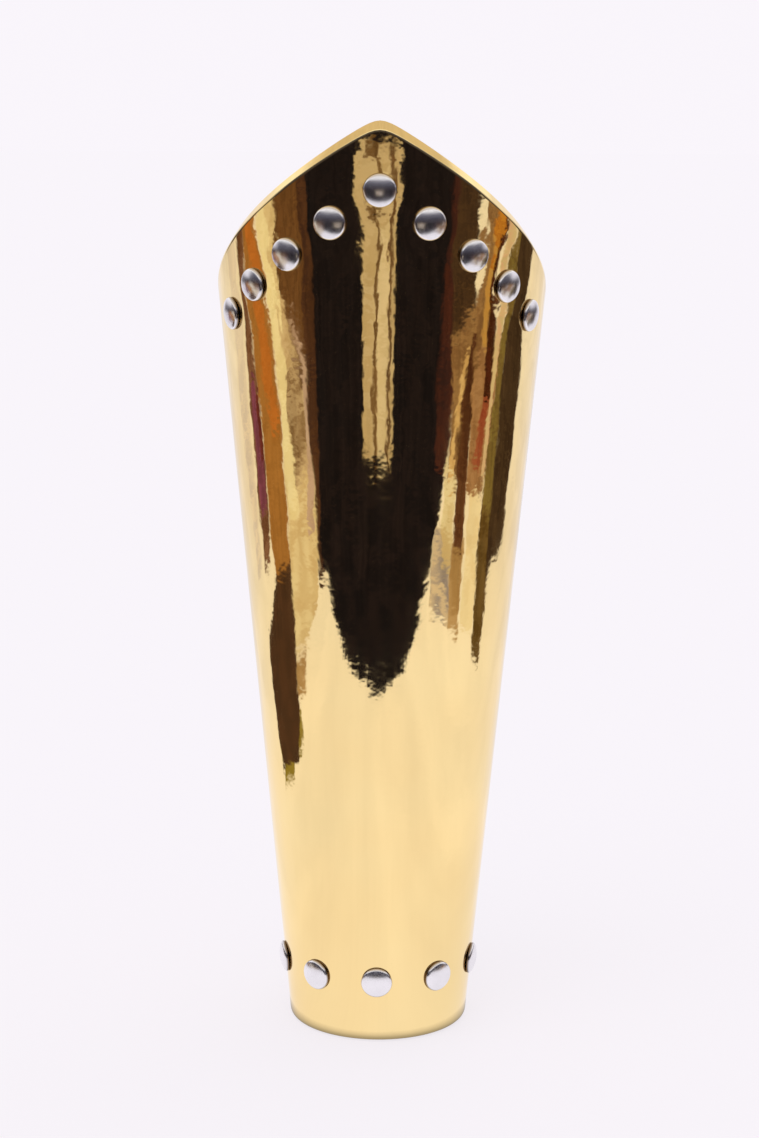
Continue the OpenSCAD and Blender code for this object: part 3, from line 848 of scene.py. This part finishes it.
def make_keeper(name, z):
    high = STRAP_IN_KEEPER_N + STRAP_T / 2 + 2 * PASS
    low = KEEPER_LEG_N + KEEPER_T
    half = STRAP_W / 2 + PASS + LAY
    place = on_shell(strap_angle(KEEPER_U, z), z)
    turns = []
    for right, up, start in ((1, 1, 0), (-1, 1, 90), (-1, -1, 180), (1, -1, 270)):
        x = right * (half - KEEPER_CORNER_R)
        y = (high if up > 0 else low) - up * KEEPER_CORNER_R
        turns += [(x, y, radians(start + step)) for step in range(0, 91, 15)]

    def place_point(turn, point):
        x, y, t = turn
        across, share = point
        out = KEEPER_CORNER_R + share * KEEPER_T
        return place @ Vector((across * KEEPER_W / 2, x + cos(t) * out, y + sin(t) * out))

    bm = bmesh.new()
    paint_sides(bm, sweep(bm, KEEPER_BAND, turns, place_point, closed=True), KEEPER_FACE)
    make_piece(bm, name + "_gold_keeper", "shell", "strap_gold", [name + "_keeper"], sharp=50)


# Buckles

FRAME_HALF_W = STRAP_W / 2 + BUCKLE_SIDE_ROOM + WIRE_R
ROLLER_HALF = FRAME_HALF_W - WIRE_BEND - PASS
EYE_WALL = 0.9
EYE_R = WIRE_R + RUNNING + EYE_WALL
PRONG_ROOT_A = 55.0
PRONG_ROOT_L = 3.3
PRONG_BEND = 2.2
PRONG_NECK = 2.6
PRONG_PAST_TOE = 1.6

RING = [(cos(2 * pi * i / 20), sin(2 * pi * i / 20)) for i in range(20)]


def make_frame(name, z):
    """A wire bent to a rectangle with rounded corners."""
    place = at_heel(z)
    far, side = BUCKLE_PITCH - WIRE_BEND, FRAME_HALF_W - WIRE_BEND
    corners = ((far, side, 0), (WIRE_BEND, side, 90), (WIRE_BEND, -side, 180), (far, -side, 270))
    bends = [(x, y, radians(start + step)) for x, y, start in corners for step in range(0, 91, 9)]

    def place_point(bend, point):
        x, y, t = bend
        out = WIRE_BEND + WIRE_R * point[0]
        return place @ Vector((x + out * cos(t), y + out * sin(t), WIRE_R * point[1]))

    bm = bmesh.new()
    sweep(bm, RING, bends, place_point, closed=True)
    make_piece(bm, name + "_wire_frame", name + "_buckle", "buckle_chrome",
               [name + "_buckle_frame"])


def both_ends(half):
    """The profile of a tube, from its half that runs from one end to the middle."""
    return half + [(r, -z) for r, z in reversed(half[:-1])]


def make_roller(name, z):
    """A tube with rounded ends, turned about the toe bar."""
    edge = 0.18
    rounding = [(ROLLER_R - edge + edge * cos(radians(t)),
                 ROLLER_HALF - edge + edge * sin(radians(t))) for t in (90, 60, 30, 0)]
    bm = spun(both_ends([(WIRE_R + RUNNING, ROLLER_HALF)] + rounding
                        + [(ROLLER_R, ROLLER_HALF / 2), (ROLLER_R, 0)]), 48)
    bmesh.ops.transform(
        bm, verts=bm.verts,
        matrix=at_heel(z) @ Matrix.Translation((BUCKLE_PITCH, 0, 0)) @ turn_by(90, "X"))
    bmesh.ops.recalc_face_normals(bm, faces=bm.faces)
    make_piece(bm, name + "_steel_roller", name + "_roller", "buckle_chrome",
               [name + "_roller"])


def prong_path():
    """Middle line of the shank, as (x, z, direction, radius), out from the heel bar."""
    root = radians(PRONG_ROOT_A)
    start = Vector((cos(root), sin(root))) * PRONG_ROOT_L
    middle = start + PRONG_BEND * Vector((sin(root), -cos(root)))
    rest = Vector((BUCKLE_PITCH, ROLLER_R + PRONG_R + LAY))
    way = rest - middle
    shank = atan2(way.y, way.x) - asin(PRONG_BEND / way.length)
    length = sqrt(way.length ** 2 - PRONG_BEND ** 2) + PRONG_PAST_TOE
    path = [(cos(root) * s, sin(root) * s, root, PRONG_R)
            for s in (EYE_R - EYE_WALL / 2, PRONG_NECK)]
    for i in range(9):
        t = root + (shank - root) * i / 8
        path.append((middle.x - PRONG_BEND * sin(t), middle.y + PRONG_BEND * cos(t), t, PRONG_R))
    bend_end = Vector((middle.x - PRONG_BEND * sin(shank), middle.y + PRONG_BEND * cos(shank)))
    run = Vector((cos(shank), sin(shank)))
    for share in (0.3, 0.6, 0.85, 1.0):
        p = bend_end + run * length * share
        path.append((p.x, p.y, shank, PRONG_R))
    for t in (20, 40, 60, 75, 86):
        p = bend_end + run * (length + PRONG_R * sin(radians(t)))
        path.append((p.x, p.y, shank, PRONG_R * cos(radians(t))))
    return path


def make_prong(name, z):
    """An eye round the heel bar and a bent wire with a round tip."""
    eye = WIRE_R + RUNNING
    half = EYE_W / 2
    edge = 0.25
    bm = spun(both_ends([(eye, half), (EYE_R - edge, half), (EYE_R - 0.07, half - 0.07),
                         (EYE_R, half - edge), (EYE_R, 0)]), 40)
    bmesh.ops.transform(bm, matrix=turn_by(90, "X"), verts=bm.verts)

    def place_point(station, point):
        x, y, t, r = station
        return Vector((x - sin(t) * r * point[0], r * point[1], y + cos(t) * r * point[0]))

    sweep(bm, RING, prong_path(), place_point)
    bmesh.ops.transform(bm, matrix=at_heel(z), verts=bm.verts)
    bmesh.ops.recalc_face_normals(bm, faces=bm.faces)
    make_piece(bm, name + "_steel_prong", name + "_prong", "buckle_chrome",
               [name + "_prong"])


for strap_name, strap_z in STRAP_HEIGHTS.items():
    for make in (make_strap, make_tab, make_keeper, make_frame, make_roller, make_prong):
        make(strap_name, strap_z)

# Table, surround and light

PALE = (0.953, 0.917, 0.966)
FLOOR_GLOW = 0.78        # share of the floor's own light in what the camera sees of it
FLOOR_R = 40.0           # in metres
FLOOR_DROP = 0.2
PAINT_DROP = 0.1         # the surround's foot lies between the floor and the guard


def flat(tree, kind, colour, strength=None):
    """A shader node of one plain colour."""
    node = tree.nodes.new(kind)
    node.inputs["Color"].default_value = (*colour, 1)
    if strength is not None:
        node.inputs["Strength"].default_value = strength
    return node.outputs[0]


def mixed(tree, share, first, second):
    node = tree.nodes.new("ShaderNodeMixShader")
    for output, socket in zip((share, first, second), node.inputs):
        tree.links.new(output, socket)
    return node.outputs[0]


def studio_paint(name):
    """A material with an empty tree, for what isn't the guard's own."""
    material = bpy.data.materials.new(name)
    material.use_nodes = True
    material.node_tree.nodes.clear()
    material.cycles.emission_sampling = "NONE"
    return material, material.node_tree


def make_floor():
    material, tree = studio_paint("pale_floor")
    share = tree.nodes.new("ShaderNodeMath")
    share.operation = "MULTIPLY"
    share.inputs[1].default_value = FLOOR_GLOW
    path = tree.nodes.new("ShaderNodeLightPath")
    tree.links.new(path.outputs["Is Camera Ray"], share.inputs[0])
    surface = mixed(tree, share.outputs[0], flat(tree, "ShaderNodeBsdfDiffuse", PALE),
                    flat(tree, "ShaderNodeEmission", PALE))
    tree.links.new(surface, tree.nodes.new("ShaderNodeOutputMaterial").inputs["Surface"])
    bm = bmesh.new()
    bmesh.ops.create_circle(bm, cap_ends=True, segments=96, radius=FLOOR_R)
    bmesh.ops.translate(bm, verts=bm.verts, vec=(0, 0, -FLOOR_DROP * MM))
    floor = object_from(bm, "floor", [material])


make_floor()


def tone(red, green, blue):
    """A colour that is given as 0 to 255, as the renderer wants it."""
    return tuple(((c / 255 + 0.055) / 1.055) ** 2.4 if c > 10 else c / 255 / 12.92
                 for c in (red, green, blue))


def seen(red, green, blue):
    """The colour of a thing that shows as this in the gold."""
    return tuple(c / gold for c, gold in zip(tone(red, green, blue), GOLD))


# What stands round the table, painted on a surround that only shows in the guard's shine:
# name, two colours that it is streaked with, as they show in the gold, softness of its
# sides in degrees, and (distance in mm, left, right) lines, with left and right as bearings
# from the front. Each covers the ones before it.
SURROUND = [
    ("grey_left", (214, 186, 142), (232, 200, 146), 3.0, [
        (560, -126, -117), (900, -129, -117), (1650, -130, -118)]),
    ("cream_left", (206, 166, 100), (228, 194, 126), 1.5, [
        (370, -80, -62), (400, -80, -54), (450, -80, -50), (620, -79, -49.5), (1096, -82, -56),
        (1650, -86, -60)]),
    ("bright_left", (240, 210, 140), (228, 196, 124), 1.2, [
        (560, -77, -66), (700, -80, -73), (850, -79, -73), (1000, -84, -72), (1100, -86, -76),
        (1300, -88, -80), (1500, -90, -82), (1650, -92, -84)]),
    ("tan_left", (166, 122, 64), (180, 136, 76), 3.0, [(316, -79, -69), (344, -80, -66)]),
    ("brown_left_top", (120, 82, 40), (192, 154, 98), 1.0, [
        (605, -69, -58), (650, -71, -57.5), (700, -72.5, -57), (800, -73, -58), (880, -71, -62),
        (960, -70, -66)]),
    ("tan_left_low", (184, 144, 84), (206, 168, 108), 1.0, [
        (860, -72, -60), (920, -72.5, -63), (1000, -73, -66), (1080, -73, -69)]),
    ("brown_left", (92, 56, 24), (108, 68, 30), 1.2, [
        (800, -60, -55), (850, -62, -54), (900, -66, -53), (950, -68.5, -53), (1020, -70, -53),
        (1080, -72, -53), (1150, -74, -53), (1300, -73, -53), (1650, -75, -55)]),
    ("pink_left", (196, 156, 114), (180, 140, 100), 1.0, [
        (520, -58, -52.5), (700, -57.5, -53), (820, -58, -54), (880, -63, -59), (960, -68, -65)]),
    ("fringe_left", (84, 50, 24), (58, 34, 20), 2.0, [
        (440, -50, -45), (600, -53, -45), (850, -55, -45), (1200, -55, -45), (1650, -57, -46)]),
    ("black_cloth", (34, 24, 18), (24, 18, 14), 1.2, [
        (298, -9, 4), (304, -17, 11), (314, -24, 19), (338, -31, 27), (364, -36, 32),
        (401, -40, 36), (428, -43, 40), (452, -47, 42), (500, -49, 44), (560, -48.5, 48),
        (620, -47.5, 50), (900, -47, 50), (1650, -50, 52)]),
    ("maroon_right", (74, 36, 20), (48, 28, 20), 2.5, [
        (600, 42, 51), (720, 41, 55), (860, 42, 53), (1000, 44, 52), (1650, 48, 56)]),
    ("split_right", (146, 126, 104), (214, 178, 122), 1.2, [
        (395, 41, 60), (430, 42, 60), (500, 44, 60)]),
    ("cream_right", (228, 198, 132), (206, 168, 100), 1.2, [
        (462, 51, 60), (520, 49.5, 60), (590, 49.5, 60)]),
    ("tan_right", (152, 108, 56), (118, 78, 38), 1.5, [
        (600, 52, 62), (700, 54, 70), (850, 50, 80), (900, 51, 80), (960, 59, 80),
        (1040, 66, 81), (1120, 70, 84), (1250, 74, 86), (1650, 72, 90)]),
    ("dark_right", (58, 38, 20), (78, 52, 26), 2.0, [
        (900, 50, 55), (960, 50, 60), (1040, 50, 67), (1120, 50, 70), (1300, 51, 66),
        (1650, 52, 72)]),
    ("streak_right", (216, 168, 94), (196, 146, 76), 0.8, [
        (600, 53, 58), (650, 56, 60), (720, 57.5, 61), (790, 59, 64), (860, 63, 68)]),
    ("umber_top", (164, 120, 62), (186, 142, 82), 1.5, [(386, 60, 71), (500, 60, 72)]),
    ("umber", (74, 38, 16), (98, 58, 28), 1.2, [
        (490, 61, 70), (600, 61, 70), (700, 62, 70.5), (800, 64.5, 70.5), (880, 66, 71),
        (925, 69, 72.5)]),
    ("cream_far_right", (240, 208, 142), (232, 196, 128), 1.5, [(400, 73, 87), (600, 74, 87)]),
    ("rose_right", (168, 118, 66), (140, 92, 46), 1.0, [
        (598, 70, 74), (620, 70, 86), (700, 70.5, 90), (800, 71, 91), (900, 74, 92),
        (1000, 78, 94)]),
    ("rust_right", (134, 54, 26), (150, 76, 40), 1.2, [
        (668, 75, 81.5), (720, 77, 83.5), (780, 79, 85), (850, 80, 87)]),
    ("line_right", (78, 34, 14), (58, 26, 8), 1.0, [
        (830, 80, 86.5), (900, 80.5, 87), (1000, 80.5, 87), (1100, 80.5, 85.5), (1200, 81, 84.5),
        (1300, 82, 88), (1400, 84, 90), (1650, 88, 94)]),
    ("golden_right", (192, 132, 52), (176, 128, 56), 1.5, [
        (940, 76, 79.5), (1050, 76, 80.5), (1150, 76.5, 82), (1250, 78, 82.5)]),
    ("orange_right", (196, 124, 34), (166, 92, 24), 1.5, [
        (1250, 78, 83), (1350, 78, 85), (1450, 80, 88), (1650, 84, 92)]),
    ("pale_line_right", (214, 162, 108), (204, 172, 106), 1.0, [
        (660, 84, 88), (800, 86.5, 89.5), (900, 87, 90.5), (1000, 87.5, 91.5), (1100, 87, 94),
        (1300, 90, 97), (1650, 94, 102)]),
    ("olive_near", (90, 62, 22), (108, 78, 34), 1.5, [
        (372, 89, 99), (400, 88, 100.5), (450, 87.5, 101), (560, 86.5, 103), (640, 88, 104)]),
    ("olive_edge", (106, 78, 32), (124, 98, 40), 1.5, [
        (600, 88, 99), (800, 90.5, 100), (1000, 92, 100), (1100, 94.5, 101), (1300, 97.5, 104),
        (1650, 103, 108)]),
    ("olive", (60, 40, 20), (72, 50, 26), 2.2, [
        (502, 100.5, 102.5), (525, 100, 104.5), (545, 99, 110), (570, 98, 115), (600, 98, 118),
        (700, 98.5, 120.5), (900, 99, 122), (1100, 100, 123), (1300, 103, 122), (1650, 107, 124)]),
    ("box_lip", (136, 108, 28), (150, 122, 44), 1.0, [
        (232, -105, -90), (246, -109, -80), (262, -110, -74), (280, -110, -76)]),
    ("box", (72, 46, 24), (80, 50, 26), 1.5, [
        (250, -108, -82), (280, -111, -79), (340, -114, -79), (400, -116.5, -78.5),
        (425, -116, -78.5), (455, -104, -79), (490, -98, -79.5), (510, -92, -80)]),
    ("amber", (152, 96, 36), (166, 106, 42), 1.5, [
        (500, -97, -80), (600, -99, -80), (800, -99, -80.5), (950, -102, -82), (1100, -104, -86),
        (1300, -106, -89), (1650, -108, -93)]),
    ("amber_deep", (188, 104, 34), (168, 92, 28), 3.0, [
        (760, -88, -81), (880, -95, -85), (1000, -96, -87), (1100, -97, -90), (1300, -100, -92),
        (1650, -104, -96)]),
    ("brown_far_left", (100, 60, 30), (128, 84, 50), 1.8, [
        (540, -112, -104), (580, -112, -100), (700, -114, -99.5), (900, -114, -101),
        (1100, -113, -104), (1300, -113, -106), (1650, -115, -108)]),
    ("mauve", (132, 66, 70), (112, 56, 56), 2.5, [
        (640, -111, -101), (760, -112, -101), (900, -112, -104), (1000, -111, -106)]),
    ("maroon", (94, 38, 26), (110, 46, 30), 1.5, [(760, -104.5, -100), (920, -106, -101.5)]),
    ("strip", (200, 165, 106), (186, 150, 90), 0.6, [
        (586, -8, 6), (601, -12, 8.5), (950, -12, 9), (1080, -12.5, 9), (1150, -14, 9.5),
        (1250, -16, 11), (1350, -17.5, 13), (1400, -16.5, 12.5), (1440, -13.5, 10.5),
        (1468, -9.5, 7), (1490, -4, 2)]),
    ("strip_line_1", (98, 66, 30), (120, 84, 42), 0.5, [
        (590, -5.2, -2.8), (700, -4.8, -2), (900, -4.2, -1.2), (1100, -2, 0.4), (1300, -5, -1.8),
        (1330, -9, -3.4), (1436, -9, -3.4), (1450, -7, 2), (1472, -6, 2)]),
    ("strip_pale", (216, 182, 122), (204, 170, 108), 0.6, [
        (592, -2, 4.6), (900, -1, 4.8), (1150, 0.5, 5.5)]),
    ("strip_line_2", (84, 54, 26), (112, 76, 38), 0.5, [
        (592, 4.8, 6.4), (900, 5, 7), (1150, 5.8, 7.6), (1300, 5.6, 9), (1340, 4, 8.3),
        (1445, 4.4, 8.3)]),
    ("back_panel", (70, 52, 26), (60, 44, 22), 1.5, [(300, 173.5, 186.5), (1650, 173.5, 186.5)]),
]
DUSK = tone(50, 44, 48)
SLATE = tone(92, 92, 106)
PANEL = (1.06, 1.04, 1.04)
CEILING = (0.70, 0.60, 0.48)
TABLE = tuple(0.97 * c for c in PALE)
# Painted contact shadow under the guard's foot, on the surround that the gold reflects
FOOT_SHADE = 0.2         # what is left of the table's brightness under the guard's foot
FOOT_R = 27.6            # where the foot ends, and how far the shade fades out from there
FOOT_FADE = 1.5
NEAR = 24.5              # the surround's inner edge, under the guard's wall
FAR = 1600.0             # the room's wall
WALL_TOP = 860.0
PANELS_FROM = 27.5       # rise in degrees at which the light panels begin and end
PANELS_TO = 37.0


def ease(x):
    """A smooth step from 0 at 0 to 1 at 1."""
    x = held(x)
    return x * x * (3 - 2 * x)


def blend(first, second, share):
    return tuple(a + (b - a) * share for a, b in zip(first, second))


def lines_at(lines, distance):
    """Left and right bearing at a distance, or None outside the lines."""
    if distance < lines[0][0] - 8 or distance > lines[-1][0] + 8:
        return None
    for (r0, a0, b0), (r1, a1, b1) in zip(lines, lines[1:]):
        if distance <= r1:
            t = max(0.0, (distance - r0) / (r1 - r0))
            return a0 + (a1 - a0) * t, b0 + (b1 - b0) * t
    return lines[-1][1:]


def surround_colour(angle, distance):
    """The table, painted brighter near the guard, what stands on it, and a painted contact shadow
    where the guard meets the table.
    """
    bright = 1.03 - 0.1 * ease((distance - 200) / 500)
    bright *= FOOT_SHADE + (1 - FOOT_SHADE) * ease((distance - FOOT_R) / FOOT_FADE)
    colour = tuple(bright * c for c in TABLE)
    for i, (name, paint, second, soft, lines) in enumerate(SURROUND):
        turned = angle + 360 if name == "back_panel" and angle < 0 else angle
        sides = lines_at(lines, distance)
        if sides is None or turned < sides[0] - soft - 2 or turned > sides[1] + soft + 2:
            continue
        sway = 0.9 * noise.noise(Vector((distance * 0.018, i * 3.7, 0.5)))
        cover = ease((turned - sides[0] - sway) / soft + 0.5) \
            * ease((sides[1] + sway - turned) / soft + 0.5)
        streak = ease(0.5 + 1.3 * noise.noise(Vector((angle * 0.1, distance * 0.045, i * 5.1))))
        colour = blend(colour, blend(seen(*paint), seen(*second), streak), cover)
    line = noise.noise(Vector((angle * 0.55, distance * 0.0035, 40)))
    line += 0.7 * noise.noise(Vector((angle * 1.3, distance * 0.006, 60)))
    deep = 0.01 + 0.35 * ease((distance - 260) / 300) * (1 - ease(colour[0] / 0.6))
    return tuple(c * (1 + deep * line) for c in colour)


def wall_colour(angle, height):
    """The room's wall: what stands before it, and the dim end of the room in front."""
    low = surround_colour(angle, FAR)
    dim = ease((150 - abs(angle)) / 24)
    dim *= 1 - ease((abs(angle) - 78) / 26) * ease((height - 260) / 260)
    climb = ease(height / WALL_TOP)
    high = blend(TABLE, blend(DUSK, SLATE, climb), dim)
    return blend(low, high, ease((height - 30) / 130))


def roof_colour(angle, rise):
    """The soft light panels over the wall, and the ceiling over them."""
    bright = blend(PANEL, CEILING, ease((rise - PANELS_TO) / 9))
    return blend(wall_colour(angle, WALL_TOP), bright, ease((rise - PANELS_FROM) / 3.5))


def make_surround():
    """A round sheet of floor, wall and roof, painted point by point, that glows as painted light
    and shows only in the guard's reflections.
    """
    columns, floor_rows, wall_rows, roof_rows = 520, 156, 12, 20
    rows = floor_rows + wall_rows + roof_rows
    foot = atan2(WALL_TOP, FAR)
    bm = bmesh.new()
    paint = bm.verts.layers.float_color.new("paint")
    bmesh.ops.create_grid(bm, x_segments=columns, y_segments=rows, size=1.0)
    for vert in bm.verts:
        angle = vert.co.x * 180
        row = (vert.co.y + 1) / 2 * rows
        if row <= floor_rows:
            distance = NEAR + (FAR - NEAR) * (row / floor_rows) ** 1.2
            height = 0.0
            colour = surround_colour(angle, distance)
        elif row <= floor_rows + wall_rows:
            distance = FAR
            height = WALL_TOP * ((row - floor_rows) / wall_rows) ** 1.5
            colour = wall_colour(angle, height)
        else:
            climb = (row - floor_rows - wall_rows) / roof_rows
            rise = foot + (radians(89) - foot) * climb ** 1.4
            distance = hypot(FAR, WALL_TOP) * cos(rise)
            height = hypot(FAR, WALL_TOP) * sin(rise)
            colour = roof_colour(angle, degrees(rise))
        vert[paint] = (*colour, 1)
        vert.co = Vector((distance * sin(radians(angle)), -distance * cos(radians(angle)),
                          height - PAINT_DROP)) * MM
    material, tree = studio_paint("painted_surround")
    colour = tree.nodes.new("ShaderNodeVertexColor")
    colour.layer_name = "paint"
    light = tree.nodes.new("ShaderNodeEmission")
    tree.links.new(colour.outputs["Color"], light.inputs["Color"])
    place = tree.nodes.new("ShaderNodeTexCoord").outputs["Object"]
    streaks = grain(tree, place, 9, 4.0, stretch=(1, 0.5, 1), distortion=0.5)
    tree.links.new(spread(tree, streaks, 0.92, 1.05), light.inputs["Strength"])
    tree.links.new(light.outputs[0],
                   tree.nodes.new("ShaderNodeOutputMaterial").inputs["Surface"])
    surround = object_from(bm, "surround", [material])
    surround.visible_camera = False
    surround.visible_diffuse = False
    surround.visible_shadow = False
    surround.visible_transmission = False


make_surround()

DOME_LIGHT = 0.76

world = bpy.data.worlds.new("studio")
world.use_nodes = True
bpy.context.scene.world = world
sky = world.node_tree
sky.nodes.clear()
sky_path = sky.nodes.new("ShaderNodeLightPath")
dome = flat(sky, "ShaderNodeBackground", (1, 1, 1), DOME_LIGHT)
backdrop = flat(sky, "ShaderNodeBackground", PALE, 1.0)
ceiling = flat(sky, "ShaderNodeBackground", CEILING, 1.0)
shown = mixed(sky, sky_path.outputs["Is Camera Ray"], dome, backdrop)
shine = mixed(sky, sky_path.outputs["Is Glossy Ray"], shown, ceiling)
sky.links.new(shine, sky.nodes.new("ShaderNodeOutputWorld").inputs["Surface"])

for lamp_name, tilt, turn, strength, width in (
    ("key_lamp", 34, -35, 0.55, 50),
    ("fill_lamp", 40, 150, 0.30, 60),
):
    lamp_data = bpy.data.lights.new(lamp_name, "SUN")
    lamp_data.energy = strength
    lamp_data.angle = radians(width)
    lamp = in_scene(lamp_name, lamp_data)
    lamp.visible_glossy = False
    lamp.matrix_world = turn_by(turn, "Z") @ turn_by(tilt, "X")

bpy.context.view_layer.update()
